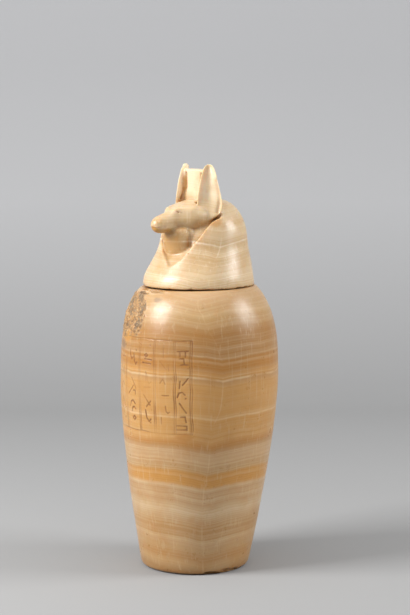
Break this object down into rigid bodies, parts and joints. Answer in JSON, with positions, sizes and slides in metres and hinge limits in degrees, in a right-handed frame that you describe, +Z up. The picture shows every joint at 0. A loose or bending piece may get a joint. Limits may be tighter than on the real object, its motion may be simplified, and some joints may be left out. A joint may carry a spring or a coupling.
{
  "type": "canopic jar",
  "caption": "Tall hollow jar of banded calcite with a worn incised panel, closed by a lift-off lid carved as a jackal's head in a headcloth.",
  "frame": {"origin": "on the floor, at the middle of the jar's bounding box, under the centre of the belly", "axes": "+Z up, the jackal and the incised panel face -Y, the jackal's left ear is on +X"},
  "size_m": [0.165, 0.165, 0.42],
  "materials": {
    "jar_calcite": "satin",
    "lid_calcite": "satin"
  },
  "bodies": {
    "root": {"jar": "jar_calcite", "lid": "lid_calcite"}
  },
  "joints": []
}
